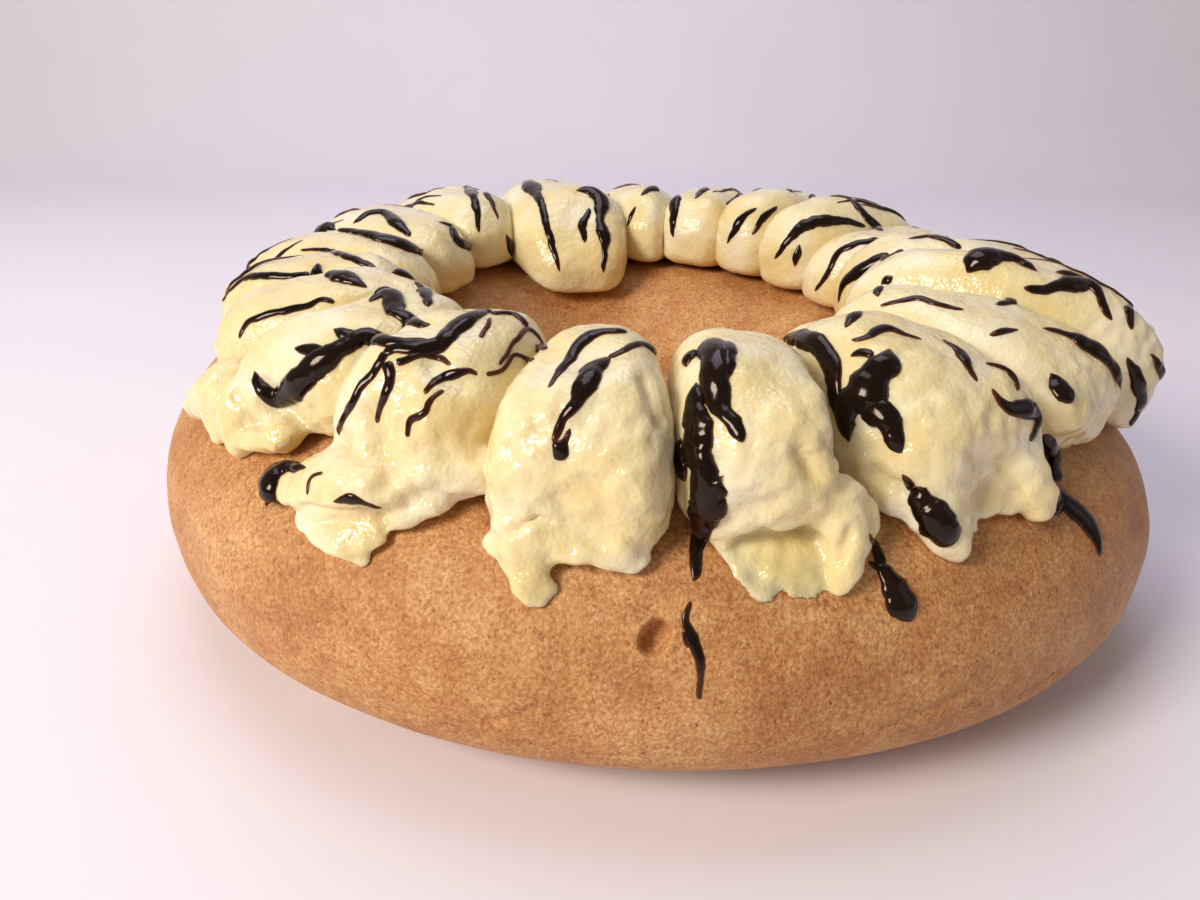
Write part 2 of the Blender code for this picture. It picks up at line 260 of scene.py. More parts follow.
for cell, channel, rarity, reach, strength, colour in SPECKS:
    cells = add(nodes, CELLS, Vector=frayed.outputs[0], Scale=1 / cell)
    lot = add(nodes, "ShaderNodeSeparateColor", Color=cells.outputs["Color"])
    chosen = add(nodes, MATH, {"operation": "GREATER_THAN"}, _0=lot.outputs[channel], _1=rarity)
    heart = reach * SPECK_HEART
    body = add(
        nodes, RANGE, Value=cells.outputs["Distance"], From_Min=reach, From_Max=heart, To_Max=strength
    )
    share = add(nodes, MATH, product, _0=chosen.outputs[0], _1=body.outputs[0])
    skin = add(nodes, MIX, lay_over, _0=share.outputs[0], _6=skin.outputs[2], _7=linear(colour))
grain = add(nodes, NOISE, Vector=place, Scale=1 / CRUST_GRAIN, Detail=3.0, Roughness=0.6)
pores = add(nodes, BUMP, Height=grain.outputs["Fac"], Strength=0.6, Distance=0.0004)
gritty = add(
    nodes, BUMP, Height=crumb.outputs["Fac"], Strength=0.5, Distance=0.0005, Normal=pores.outputs["Normal"]
)
relief = add(
    nodes, BUMP, Height=mottle.outputs["Fac"], Strength=0.5, Distance=0.0009, Normal=gritty.outputs["Normal"]
)
rough = add(
    nodes, RANGE, Value=crumb.outputs["Fac"], From_Min=0.3, From_Max=0.7, To_Min=0.40, To_Max=0.66
)
plug(nodes, shader, Base_Color=skin.outputs[2], Normal=relief.outputs["Normal"])
plug(nodes, shader, Roughness=rough.outputs[0], Specular_IOR_Level=0.4)

# A grid rolled up, round the section one way and round the hole the other. It gives the same mesh
# each run, where a spin would put its faces in another order each time.
section_rows = LOAF_SECTION_STEPS + 1  # the last one closes the flat base
loaf_shape = bmesh.new()
bmesh.ops.create_grid(loaf_shape, x_segments=LOAF_RING_STEPS, y_segments=section_rows, size=1.0)
for vertex in loaf_shape.verts:
    row = round((1 + vertex.co.y) / 2 * section_rows) % section_rows
    point = section(-90 + 360 * row / LOAF_SECTION_STEPS)
    around = math.pi * vertex.co.x
    radius = point.x * outline(around)
    turned_out = Vector((radius * math.cos(around), radius * math.sin(around), point.z))
    vertex.co = swollen(turned_out, SWELLS)
bmesh.ops.remove_doubles(loaf_shape, verts=loaf_shape.verts, dist=1e-6)
bmesh.ops.recalc_face_normals(loaf_shape, faces=loaf_shape.faces)
loaf_shape.verts.index_update()
loaf_shape.normal_update()


def distances(shape, line):
    """How far each vertex of a bmesh stands from a line of points."""
    places = np.array([vertex.co for vertex in shape.verts])
    nearest = np.full(len(places), np.inf)
    for point in line:
        nearest = np.minimum(nearest, ((places - np.array(point)) ** 2).sum(axis=1))
    return np.sqrt(nearest)


def pushed(shape, line, width, depth, sharpness=2, direction=None):
    """Presses a bmesh in along a line by a depth, over a half-width either side of it."""
    shares = np.exp(-((distances(shape, line) / width) ** sharpness))
    shape.verts.ensure_lookup_table()
    for index in np.nonzero(shares > FAINTEST)[0]:
        vertex = shape.verts[index]
        vertex.co += (direction or -vertex.normal) * depth * shares[index]


def ring_line(first, last, height=0.0, steps=12):
    """Points over the crust between two places of degrees and section angle."""
    ends = np.array(first), np.array(last)
    spread = [ends[0] + (ends[1] - ends[0]) * step / steps for step in range(steps + 1)]
    return [on_ring(degrees, angle, height) for degrees, angle in spread]


def refined(shape, line, reach, cuts):
    """Divides a bmesh's edges within reach of a line, for finer relief there."""
    near = set(np.nonzero(distances(shape, line) < reach)[0])
    edges = [edge for edge in shape.edges if edge.verts[0].index in near and edge.verts[1].index in near]
    bmesh.ops.subdivide_edges(shape, edges=edges, cuts=cuts, use_grid_fill=True)
    bmesh.ops.triangulate(shape, faces=[face for face in shape.faces if len(face.verts) > 4])
    shape.verts.index_update()
    shape.normal_update()


for start_degrees, start_angle, end_degrees, end_angle, half_width, depth in WRINKLES:
    crease = ring_line((start_degrees, start_angle), (end_degrees, end_angle))
    refined(loaf_shape, crease, WRINKLE_REACH, cuts=2)
    pushed(loaf_shape, crease, half_width, depth)
pit_line = ring_line(*PIT)
refined(loaf_shape, pit_line, PIT_REACH, cuts=4)
pushed(loaf_shape, pit_line, PIT_RADIUS, PIT_DEPTH, sharpness=8)
loaf = finish_mesh("loaf", loaf_shape, ["bread"], crust)


# ---------------------------------------------------------------------------------------------
# The cream
# Thick pastry cream, squeezed from a bag with a wide plain nozzle: nineteen fat dollops drawn
# outwards over the crest and torn off, each pressed against the next.

CREAM_GAP = 0.0002
LEAN_FROM = 75.0  # the section angle at which a dollop's side stands where its row says
LEAN_OVER = 60.0  # and over how many degrees of it the side leans by its row's lean
UPRIGHT = 0.62  # how far a dollop rises straight up, and not square to the crust
WIDEST_SHARE = 0.40
WIDEST_DROP = 0.16
END_BLUNTNESS = 0.80
SIDE_BLUNTNESS = 0.60
TOP_BLUNTNESS = 0.84
FOOT_BLUNTNESS = 0.36
END_WIDTH_POWER = 0.42
END_HEIGHT_POWER = 0.62
INNER_WIDTH_POWER = 0.55
INNER_HEIGHT_POWER = 0.75
TEAR_START = 0.55
DOLLOP_LENGTH = 0.063
DOLLOP_HALF_WIDTH = 0.012
LUMP_SIZE = 0.012
LUMP_DEPTH = 0.07
LUMP_SEED = 7.3
PRESSED = 0.0002  # how far a dollop's side runs into its neighbour's at the front
BACK_BLUNTNESS = 0.86  # towards the back the dollops are rounder and merge deeper
BACK_PRESSED = 0.0022
# Each dollop: the degrees round the ring where its first side stands and how far that leans, the
# section angles of its inner and its torn end, its height in millimetres, and the torn end's tips:
# each its place across from -1 to 1, its reach in degrees and its spread
DOLLOPS = [
    (240.0, 6, 93, 49, 19.5, [(0.4, 2, 0.40)]),
    (259.0, 5, 89, 42, 20.0, [(0.65, 3, 0.28)]),
    (275.5, 0, 88, 43, 20.0, [(-0.1, 1, 0.50)]),
    (292.6, 0, 91, 46, 20.0, [(-0.45, 3, 0.32)]),
    (311.8, -4, 103, 50, 18.5, [(0.5, 4, 0.50)]),
    (331.0, -4, 108, 38, 22.0, [(-0.2, 4, 0.40)]),
    (347.0, 0, 109, 40, 21.0, [(0.4, 4, 0.40)]),
    (364.0, 0, 108, 42, 18.5, [(-0.3, 5, 0.40)]),
    (382.5, 0, 107, 42, 22.5, [(0.2, 5, 0.40)]),
    (401.0, 0, 103, 42, 23.0, [(-0.4, 6, 0.30)]),
    (419.0, 0, 102, 42, 22.0, [(0.4, 5, 0.30)]),
    (437.5, 0, 104, 42, 20.5, [(0.0, 6, 0.40)]),
    (454.0, -9, 124, 43, 21.5, [(-0.5, 6, 0.30), (0.5, 5, 0.30)]),
    (477.5, 9, 106, 44, 20.5, [(0.3, 5, 0.40)]),
    (498.0, 2, 112, 46, 18.0, [(-0.3, 5, 0.40)]),
    (520.0, 5, 113, 50, 16.5, [(0.4, 4, 0.30)]),
    (541.0, 9, 112, 53, 16.5, [(-0.2, 3, 0.40)]),
    (561.0, 13, 109, 56, 17.5, [(0.3, 3, 0.40)]),
    (582.0, 18, 100, 57, 17.5, [(-0.5, 5, 0.50)]),
]
# The torn ends: tongues and knobs pulled out as the nozzle lifted. Each is its thickness as a
# share of its width, and a chain of stations: degrees round, section angle, height of its middle
# over the crust and half-width, millimetres
TONGUES = {
    1: [
        (
            0.58,
            [
                (247.0, 53, 5.5, 8.0), (241.5, 47.5, 3.8, 6.4),
                (237.2, 44.2, 2.6, 4.2), (233.2, 42.2, 1.8, 2.8),
            ],
        ),
        (0.80, [(252.0, 57.0, 6.0, 6.2), (256.0, 58.0, 5.0, 5.2)]),
        (
            0.40,
            [
                (239.6, 37.2, 1.5, 2.6), (242.2, 36.4, 1.6, 3.4),
                (245.0, 36.2, 1.6, 3.6), (247.0, 38.0, 1.4, 3.0),
            ],
        ),
        (0.45, [(245.6, 34.4, 0.7, 2.6), (246.8, 31.8, 0.4, 1.5)]),
        (0.50, [(244.8, 44.0, 1.4, 4.2), (248.4, 46.4, 1.8, 4.2), (251.4, 50.8, 3.0, 4.4)]),
    ],
    2: [
        (
            0.60,
            [(261.8, 46, 3.5, 4.8), (262.2, 40, 1.8, 3.7), (262.8, 35, 1.0, 3.1), (263.4, 31.6, 0.5, 2.4)],
        ),
        (0.50, [(263.2, 33, 0.5, 2.2), (264.8, 33.4, 0.3, 1.3)]),
        (
            0.55,
            [
                (263.4, 46.5, 4.4, 3.4), (260.6, 43.8, 2.2, 3.0),
                (259.2, 42.4, 1.2, 2.0), (258.7, 42.2, 0.8, 1.5),
            ],
        ),
        (
            0.62,
            [
                (262.0, 45.6, 2.6, 4.2), (266.0, 45.0, 2.8, 4.0),
                (269.4, 44.2, 2.6, 3.8), (271.2, 42.6, 1.8, 3.2),
            ],
        ),
        (0.80, [(270.4, 47, 3.2, 4.4), (270.8, 43.2, 1.8, 3.0)]),
    ],
    3: [
        (
            0.80,
            [(289.4, 50, 6.0, 4.4), (289.8, 44, 3.8, 3.5), (289.3, 38, 1.8, 2.5), (288.4, 33.6, 0.9, 1.4)],
        ),
        (0.70, [(291.6, 49, 5.6, 2.2), (292.0, 45.5, 4.4, 1.5)]),
        (0.80, [(279.0, 50, 3.0, 3.0), (280.2, 46.5, 1.2, 2.0)]),
        (0.80, [(290.8, 44, 2.2, 1.8), (291.3, 41.6, 1.2, 1.1)]),
    ],
    4: [
        (
            0.80,
            [(299.0, 54, 6.0, 6.5), (299.0, 47, 3.8, 5.2), (299.5, 41.5, 1.8, 3.6), (299.8, 38.8, 1.0, 2.0)],
        ),
        (0.85, [(308.6, 52, 6.0, 5.0), (309.6, 46, 4.2, 4.0), (309.6, 42.8, 3.0, 3.2)]),
        (0.80, [(302.4, 43.5, 1.2, 1.3), (303.2, 42.0, 0.6, 0.8)]),
        (0.60, [(302.6, 49.2, 2.2, 3.4), (305.6, 48.6, 2.0, 3.4), (307.6, 47.4, 1.8, 3.0)]),
    ],
    5: [(0.80, [(318.0, 60, 9.0, 6.5), (322.0, 58, 7.0, 6.0)])],
    19: [
        (0.80, [(223.0, 58, 6.0, 6.5), (222.0, 52, 3.6, 5.2), (223.2, 47.5, 1.6, 3.4)]),
        (0.75, [(216.0, 55, 5.5, 6.5), (211.5, 49, 3.4, 5.0), (208.2, 45.0, 1.8, 3.4)]),
        (0.70, [(216.5, 50, 2.6, 4.6), (217.8, 46.5, 1.2, 3.2)]),
        (0.60, [(219.5, 52.0, 2.6, 4.6), (224.5, 51.5, 2.6, 4.4), (229.0, 54.5, 3.2, 4.6)]),
    ],
}
# Thin cream left on the crust under a hollow, given like the tongues
SMEARS = {
    3: [
        (0.30, [(281.0, 45, 0.4, 3.2), (284.2, 43.5, 0.4, 4.2), (287.6, 45, 0.4, 3.2)]),
        (0.16, [(281.6, 41, 0.2, 3.4), (282.4, 37.4, 0.1, 3.2), (282.0, 34.4, 0.1, 1.6)]),
        (0.16, [(285.2, 41, 0.2, 4.2), (285.6, 37.0, 0.1, 3.4), (285.0, 34.0, 0.1, 1.2)]),
        (0.16, [(288.0, 40, 0.2, 2.6), (288.0, 36.0, 0.1, 2.0)]),
    ],
}
# Where the cream tore away under its skin: degrees round, section angle, height of the hollow's
# middle, its radius and how far in it goes, millimetres
HOLLOWS = {
    2: [(266.6, 39.4, 0.6, 1.8, 1.0)],
    3: [(282.4, 44, 1.4, 3.6, 4.0), (286.0, 43.5, 1.4, 3.8, 4.2)],
    4: [(304.6, 50, 4.6, 2.8, 3.0), (306.2, 53, 6.0, 2.6, 2.2)],
}
# Where a neighbour pressed a dollop's side in: degrees round, section angle, height, radius and
# depth in millimetres
PRESSES = {3: [(293.4, 52, 13.0, 11.0, 5.0), (293.0, 66, 16.0, 8.0, 1.5)]}
# Folds, dents and bubbles that the photograph shows: pixels, half-width and depth, millimetres
FOLDS = {
    1: [
        ([(374, 415), (378, 440), (384, 462), (388, 482)], 1.8, 1.5),
        ([(430, 352), (440, 372), (462, 384)], 1.6, 1.0),
        ([(345, 450), (362, 458), (392, 462)], 1.3, 1.1),
        ([(440, 345), (436, 356), (428, 362)], 1.4, 0.9),
        ([(302, 508), (325, 511), (350, 511), (374, 514), (386, 528)], 0.8, 1.2),
    ],
    2: [
        ([(492, 538), (508, 532), (524, 523), (538, 519), (550, 521)], 0.6, 1.1),
        ([(645, 380), (652, 402), (660, 420)], 1.3, 0.9),
        ([(552, 345), (540, 370), (530, 395)], 2.0, 0.6),
        ([(560, 500), (590, 492)], 2.4, 0.5),
    ],
    3: [
        ([(801, 452), (804, 458)], 1.2, 1.4),
        ([(808, 464), (814, 471)], 1.3, 1.6),
        ([(828, 440), (840, 452), (852, 470)], 1.5, 0.7),
        ([(726, 520), (745, 512), (770, 505)], 1.6, 0.5),
        ([(838, 560), (846, 545), (850, 530)], 0.9, 0.9),
    ],
    4: [
        ([(872, 470), (892, 482), (912, 492)], 1.1, 1.1),
        ([(970, 452), (985, 462), (1002, 462)], 1.4, 0.9),
        ([(1003, 470), (1012, 482), (1016, 492)], 1.1, 0.9),
        ([(905, 350), (925, 344), (950, 352)], 2.0, 0.7),
    ],
    19: [([(232, 395), (246, 412), (262, 428)], 1.6, 1.0), ([(220, 380), (236, 372)], 1.5, 0.8)],
}


def smooth_step(low, high, value):
    """0 below low, 1 above high, and an even ease between them."""
    share = min(1.0, max(0.0, (value - low) / (high - low)))
    return share * share * (3 - 2 * share)


def signed_power(value, power):
    """A power that keeps the sign."""
    return math.copysign(abs(value) ** power, value)


def side(number, angle):
    """Where a dollop's first side stands, in degrees round the ring, at a section angle."""
    turns, row = divmod(number - 1, len(DOLLOPS))
    first, lean = DOLLOPS[row][:2]
    return first + 360 * turns + lean * (angle - LEAN_FROM) / LEAN_OVER


def dollop_point(number, along, up):
    """A point on a dollop's skin, from two angles in degrees: along, 0 at the inner end to 180
    at the torn one, and up, 0 at its right side, 90 on top, 180 at its left."""
    inner, outer, height, tips = DOLLOPS[number - 1][2:]
    share = (1 - signed_power(math.cos(math.radians(along)), END_BLUNTNESS)) / 2
    girth = max(0.0, math.sin(math.radians(along)))
    width_share = girth ** (INNER_WIDTH_POWER if share < 0.5 else END_WIDTH_POWER)
    height_share = girth ** (INNER_HEIGHT_POWER if share < 0.5 else END_HEIGHT_POWER)
    rise = math.sin(math.radians(up))
    behind = (1 + math.sin(math.radians(DOLLOPS[number - 1][0]))) / 2
    bluntness = SIDE_BLUNTNESS + (BACK_BLUNTNESS - SIDE_BLUNTNESS) * behind
    across = signed_power(math.cos(math.radians(up)), bluntness) * width_share
    body = height / 1000
    middle = body * (WIDEST_SHARE - WIDEST_DROP * smooth_step(0.5, 1.0, share))
    if rise > 0:
        along_skin = Vector((0.0, share * DOLLOP_LENGTH, -across * DOLLOP_HALF_WIDTH)) / LUMP_SIZE
        along_skin.x = number * LUMP_SEED
        lump = 1 + LUMP_DEPTH * noise.noise(along_skin)
        over = middle + (body * lump - middle) * rise**TOP_BLUNTNESS * height_share
    else:
        over = middle - middle * abs(rise) ** FOOT_BLUNTNESS * width_share
    torn = sum(reach * math.exp(-(((across - tip) / spread) ** 2)) for tip, reach, spread in tips)
    angle = inner + (outer - inner) * share - torn * smooth_step(TEAR_START, 1.0, share)
    first, last = side(number, angle), side(number + 1, angle)
    pressed = PRESSED + BACK_PRESSED * behind
    half = (last - first) / 2 + math.degrees(pressed / section(angle).x)
    return on_ring((first + last) / 2 + across * half, angle, CREAM_GAP + over, UPRIGHT)


# Pastry cream, cooked with egg yolk and set: pale butter yellow and a little see-through, so
# that light soaks in and glows at thin edges, with a moist skin that glints from fine grains.
CREAM_GRAIN = 0.75e-3
CREAM_CURD = 3.2e-3
CREAM_CLOUD = 13.0e-3
BUTTER = [(0.30, "#E5CD90"), (0.50, "#EAD8A7"), (0.70, "#EFE4C6")]

cream, nodes, shader, place = new_material("set pastry cream")
cloud = add(nodes, NOISE, Vector=place, Scale=1 / CREAM_CLOUD, Detail=3.0, Roughness=0.5)
yolk = add(nodes, RAMP, {"stops": BUTTER}, Fac=cloud.outputs["Fac"])
curd = add(nodes, NOISE, Vector=place, Scale=1 / CREAM_CURD, Detail=2.0, Roughness=0.5)
grain = add(nodes, NOISE, Vector=place, Scale=1 / CREAM_GRAIN, Detail=1.0, Roughness=0.5)
fine = add(nodes, BUMP, Height=grain.outputs["Fac"], Strength=0.60, Distance=0.0003)
lumpy = add(
    nodes, BUMP, Height=curd.outputs["Fac"], Strength=0.5, Distance=0.0008, Normal=fine.outputs["Normal"]
)
wet = add(
    nodes, RANGE, Value=cloud.outputs["Fac"], From_Min=0.35, From_Max=0.65, To_Min=0.12, To_Max=0.26
)
plug(nodes, shader, Base_Color=yolk.outputs["Color"], Normal=lumpy.outputs["Normal"])
plug(nodes, shader, Roughness=wet.outputs[0], IOR=1.42, Specular_IOR_Level=0.6)
plug(nodes, shader, Subsurface_Weight=0.45, Subsurface_Radius=(1.0, 0.82, 0.55), Subsurface_Scale=0.0032)

# The photograph's eye, by which the folds and streaks that it shows are placed: their points
# are pixels of the 1200 by 900 photograph, and each lands on the cream or crust seen there.
EYE = Vector((0.0, -1.8746, 1.0307)) * LOAF_RADIUS + RING_CENTRE
EYE_YAW = -0.0222
EYE_PITCH = 0.4339
EYE_ROLL = 0.0100
FOCAL_PIXELS = 867.0
PHOTO_WIDTH = 1200
PHOTO_HEIGHT = 900
ONWARD = math.cos(EYE_PITCH)
FORWARD = Vector((math.sin(EYE_YAW) * ONWARD, math.cos(EYE_YAW) * ONWARD, -math.sin(EYE_PITCH)))
LEVEL = FORWARD.cross(Vector((0.0, 0.0, 1.0))).normalized()
UPWARD = LEVEL.cross(FORWARD)
EYE_RIGHT = math.cos(EYE_ROLL) * LEVEL + math.sin(EYE_ROLL) * UPWARD
EYE_UP = math.cos(EYE_ROLL) * UPWARD - math.sin(EYE_ROLL) * LEVEL

CREAM_VOXEL = 0.00055
CREAM_SEGMENTS = 80
CREAM_RINGS = 64
BEAD_SEGMENTS = 20
BEAD_RINGS = 14
BEAD_STEP = 0.35  # from one bead of a tongue to the next, as a share of its radius
FOLD_STEP = 0.0004
PIXEL_STEP = 2.0  # from one pixel that is looked through to the next
CREAM_SWELLS = [(0.0125, 0.00045), (0.0058, 0.00022), (0.0024, 0.00010), (0.0013, 0.00005)]
RAGGED_FROM = 62.0  # section angle below which the torn end grows rougher, over RAGGED_OVER
RAGGED_OVER = 14.0
RAGGED = (0.0024, 0.00042)  # size and depth of that roughness
REACH_DOWN = 0.007  # how far under the crust a tongue may start before it is laid on it


def seen_at(pixel, surface):
    """The point of a surface that the photograph shows at a pixel, or None."""
    across = (pixel[0] - PHOTO_WIDTH / 2) / FOCAL_PIXELS
    down = (pixel[1] - PHOTO_HEIGHT / 2) / FOCAL_PIXELS
    return surface.ray_cast(EYE, (FORWARD + EYE_RIGHT * across - EYE_UP * down).normalized())[0]


def curved(points, step):
    """Points a step apart along a smooth curve through a few points of any size."""
    points = [Vector(point) for point in points]
    spread = []
    last = len(points) - 1
    for first in range(last):
        a, b = points[max(0, first - 1)], points[first]
        c, d = points[first + 1], points[min(last, first + 2)]
        count = max(1, round((c - b).length / step))
        for turn in range(count):
            t = turn / count
            bend = (c - a) * t + (2 * a - 5 * b + 4 * c - d) * t**2 + (3 * b - a - 3 * c + d) * t**3
            spread.append(b + bend / 2)
    spread.append(points[-1])
    return spread


def remeshed(shape, voxel, smoothing):
    """Melts the overlapping bodies of a bmesh into one even skin."""
    mesh = settled("lump", shape)
    lump = in_scene("lump", mesh)
    melt = lump.modifiers.new("melt", "REMESH")
    melt.mode = "VOXEL"
    melt.voxel_size = voxel
    ease = lump.modifiers.new("ease", "SMOOTH")
    ease.factor = 0.5
    ease.iterations = smoothing
    bpy.context.view_layer.update()
    even = bpy.data.meshes.new_from_object(lump.evaluated_get(bpy.context.evaluated_depsgraph_get()))
    bpy.data.objects.remove(lump)
    bpy.data.meshes.remove(mesh)
    made = bmesh.new()
    made.from_mesh(even)
    bpy.data.meshes.remove(even)
    made.normal_update()
    return made


def merged(shape, piece):
    """Adds one bmesh's geometry to another, and lets it go."""
    held = settled("held", piece)
    shape.from_mesh(held)
    bpy.data.meshes.remove(held)


def tongue(shape, flat, stations):
    """Adds a tongue of cream to a bmesh: a chain of beads that lies along the crust."""
    for start, end in zip(stations, stations[1:]):
        start, end = np.array(start, dtype=float), np.array(end, dtype=float)
        reach = (on_ring(*start[:2], start[2] / 1000) - on_ring(*end[:2], end[2] / 1000)).length
        count = max(2, math.ceil(reach / (BEAD_STEP * min(start[3], end[3]) / 1000)))
        beads = bmesh.new()
        for step in range(count + 1):
            degrees, angle, height, half_width = start + (end - start) * step / count
            middle = on_ring(degrees, angle, height / 1000)
            upright = (on_ring(degrees, angle, 0.001) - on_ring(degrees, angle, 0.0)).normalized()
            turn = upright.to_track_quat("Z", "Y").to_matrix().to_4x4()
            bead = Matrix.Translation(middle) @ turn @ Matrix.Diagonal((1, 1, flat, 1))
            bmesh.ops.create_uvsphere(
                beads, u_segments=BEAD_SEGMENTS, v_segments=BEAD_RINGS, radius=half_width / 1000, matrix=bead
            )
        merged(shape, beads)


def section_angle(point):
    """Roughly where on the section a point stands: 0 outside, 90 over the crest."""
    flat = point - RING_CENTRE
    around = math.atan2(flat.y, flat.x)
    radius = math.hypot(flat.x, flat.y) / outline(around) / LOAF_RADIUS
    return math.degrees(math.atan2(flat.z / LOAF_RADIUS - WIDEST_HEIGHT, radius - CREST))


def sunk(shape, hollows, across=False):
    """Presses round hollows into a bmesh: towards the middle of the ring, or round it."""
    for degrees, angle, height, radius, depth in hollows:
        middle = on_ring(degrees, angle, height / 1000, UPRIGHT)
        inward = Vector((RING_CENTRE.x - middle.x, RING_CENTRE.y - middle.y, 0.0)).normalized()
        if across:
            inward = Vector((-inward.y, inward.x, 0.0))
        sharpness = 2 if across else 4
        pushed(shape, [middle], radius / 1000, depth / 1000, sharpness, direction=inward)


crust_skin = BVHTree.FromPolygons(
    [vertex.co for vertex in loaf.data.vertices], [face.vertices for face in loaf.data.polygons]
)
dollops = []
for number in range(1, len(DOLLOPS) + 1):
    shape = bmesh.new()
    bmesh.ops.create_uvsphere(shape, u_segments=CREAM_SEGMENTS, v_segments=CREAM_RINGS, radius=1.0)
    for vertex in shape.verts:
        along = math.degrees(math.acos(max(-1.0, min(1.0, vertex.co.z))))
        up = math.degrees(math.atan2(vertex.co.y, vertex.co.x))
        vertex.co = dollop_point(number, along, up)
    sunk(shape, PRESSES.get(number, []), across=True)
    for flat, stations in TONGUES.get(number, []):
        tongue(shape, flat, stations)
    shape = remeshed(shape, CREAM_VOXEL, smoothing=5)
    if number in HOLLOWS:
        sunk(shape, HOLLOWS[number])
        for flat, stations in SMEARS.get(number, []):
            tongue(shape, flat, stations)
        shape = remeshed(shape, CREAM_VOXEL, smoothing=3)
    skin = BVHTree.FromBMesh(shape)
    for pixels, half_width, depth in FOLDS.get(number, []):
        landed = [seen_at(pixel, skin) for pixel in curved(pixels, PIXEL_STEP)]
        line = curved([point for point in landed if point], FOLD_STEP)
        pushed(shape, line, half_width / 1000, depth / 1000)
    shape.normal_update()
    for vertex in shape.verts:
        rise = sum(noise.noise(vertex.co / size) * most for size, most in CREAM_SWELLS)
        torn = smooth_step(0.0, RAGGED_OVER, RAGGED_FROM - section_angle(vertex.co))
        rise += torn * noise.noise(vertex.co / RAGGED[0]) * RAGGED[1]
        vertex.co += vertex.normal * rise
        laid, crust_normal, _, _ = crust_skin.find_nearest(vertex.co, REACH_DOWN)
        if laid and (vertex.co - laid).dot(crust_normal) < CREAM_GAP:
            vertex.co = laid + crust_normal * CREAM_GAP
    name = f"cream_dollop_{number:02d}"
    dollops.append(finish_mesh(f"piped_{name}", shape, [name], cream))


# ---------------------------------------------------------------------------------------------
# The chocolate
# Melted dark chocolate, flicked across from a spoon in one direction and then another: it ran
# down the cream in streaks with fat ends, and a few drips went on over the crust.

# The streaks of each side: half-widths in millimetres at even steps along one, then its pixels
STREAKS = {}
STREAKS["front_left"] = [
    ((0.9, 1.5, 0.8), [(491, 311), (470, 317), (455, 329), (442, 342), (423, 346), (398, 348), (382, 355)]),
    ((0.8, 0.6, 0.45), [(386, 352), (375, 371), (359, 390), (346, 413), (340, 424), (339, 436)]),
    ((0.8, 0.7, 0.3), [(386, 362), (390, 380), (384, 399), (376, 423)]),
    ((0.6, 0.5, 0.3), [(396, 362), (423, 355), (440, 359), (451, 365)]),
    ((0.8, 0.8, 0.7), [(491, 314), (514, 315), (528, 327)]),
    ((0.3, 0.35, 0.3), [(490, 318), (487, 328), (480, 338)]),
    ((0.3, 0.45, 0.5), [(499, 365), (507, 355), (514, 342), (528, 329), (539, 338), (545, 350)]),
    ((0.3, 0.7, 0.4), [(478, 375), (468, 371), (451, 375), (436, 382), (424, 394)]),
    ((0.3, 0.35, 0.4), [(486, 375), (501, 371), (509, 361), (516, 355), (532, 361)]),
    ((0.3, 0.5, 0.45), [(444, 390), (430, 401), (423, 413), (411, 422), (406, 437)]),
    (
        (0.5, 1.0, 1.9, 2.2, 2.0, 1.3),
        [(306, 468), (291, 467), (279, 469), (270, 482), (269, 494), (273, 502)],
    ),
    ((0.3, 0.9, 0.5, 0.3), [(333, 502), (346, 499), (361, 503), (379, 508)]),
    ((0.3, 0.35, 0.3), [(323, 473), (309, 480), (307, 495)]),
]
STREAKS["front"] = [
    ((0.8, 1.1, 0.7, 0.3), [(626, 331), (598, 333), (582, 341), (573, 354), (561, 370), (548, 388)]),
    ((0.8, 0.5, 0.5), [(655, 351), (640, 343), (622, 352), (608, 358)]),
    (
        (0.9, 1.6, 1.5, 0.8, 0.6, 0.3),
        [(610, 357), (598, 366), (588, 378), (582, 391), (573, 406), (561, 423), (554, 444)],
    ),
    ((0.3, 0.4, 1.2, 0.9), [(570, 428), (567, 438), (560, 451), (554, 459)]),
    (
        (0.7, 2.0, 2.2, 1.8, 1.0, 1.1),
        [(709, 339), (713, 360), (716, 385), (722, 405), (733, 424), (744, 442)],
    ),
    ((0.6, 1.2, 1.3), [(727, 341), (726, 358), (720, 378)]),
    (
        (0.6, 1.7, 2.2, 2.5, 2.0, 2.2, 2.3, 1.5, 1.0, 0.8, 0.5),
        [
            (696, 382), (695, 405), (698, 430), (700, 455), (704, 480),
            (706, 500), (702, 525), (697, 550), (694, 582),
        ],
    ),
    ((1.1, 1.7, 1.8, 1.2), [(681, 438), (680, 452), (682, 468), (685, 482)]),
    ((1.8, 1.8, 1.0), [(706, 480), (717, 490), (728, 491)]),
    ((1.8, 1.7, 0.6), [(712, 494), (714, 508), (712, 524)]),
    (
        (0.3, 0.5, 0.8, 0.6, 0.4, 0.3),
        [(691, 601), (686, 618), (690, 636), (697, 650), (701, 672), (698, 700)],
    ),
    ((0.3, 0.5, 0.3), [(686, 622), (685, 634), (688, 648)]),
    ((1.3, 1.4, 0.7), [(698, 352), (690, 357), (687, 367)]),
    ((0.5, 0.5, 0.4), [(691, 373), (692, 376)]),
    ((0.6, 1.5, 1.6, 1.2, 1.0), [(784, 338), (807, 339), (822, 351), (832, 368), (836, 397), (847, 439)]),
]
